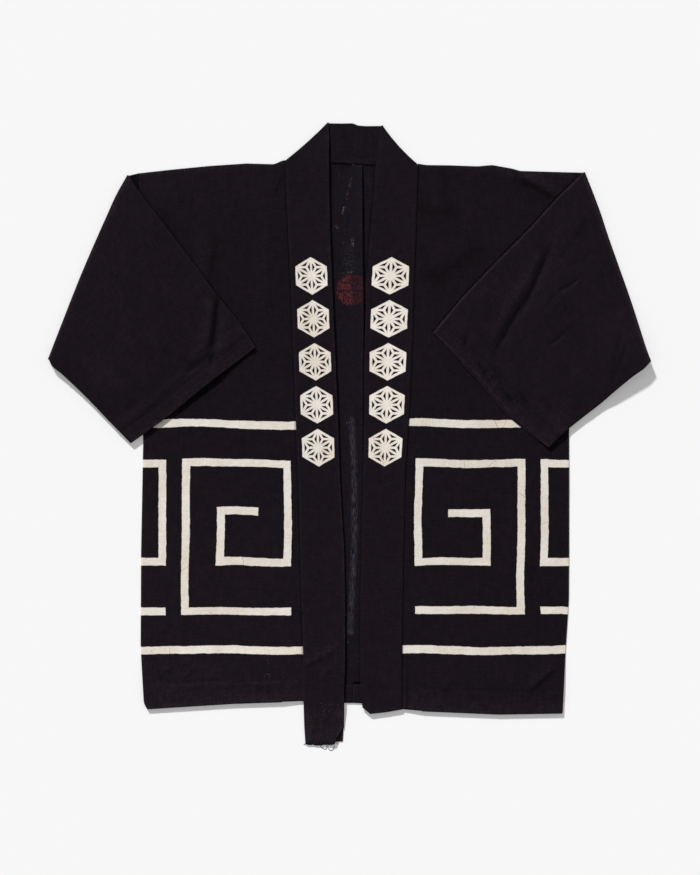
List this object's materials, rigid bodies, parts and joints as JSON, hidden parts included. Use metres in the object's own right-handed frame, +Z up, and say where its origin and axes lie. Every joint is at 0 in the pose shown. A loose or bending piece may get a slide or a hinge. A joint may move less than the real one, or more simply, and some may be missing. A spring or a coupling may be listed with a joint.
{
  "type": "happi coat laid flat",
  "caption": "Short straight-cut cotton work coat with wide sleeves and a long collar band, laid flat on its back with both sleeves folded over the fronts.",
  "frame": {"origin": "middle of the laid coat's floor area, on the surface it lies on", "axes": "+Z up from the surface, +Y towards the collar, +X to the viewer's right when the coat is seen from above with the collar up"},
  "size_m": [0.8823, 0.9132, 0.0158],
  "materials": {
    "dyed_cotton": "matte plain-weave cotton, dyed blue-black, with resist-dyed cream bars",
    "band_cotton": "matte plain-weave cotton, dyed blue-black, with resist-dyed cream motifs"
  },
  "bodies": {
    "root": {"body_left": "dyed_cotton", "body_right": "dyed_cotton", "sleeve_left": "dyed_cotton", "sleeve_right": "dyed_cotton", "collar_band": "band_cotton"}
  },
  "joints": []
}
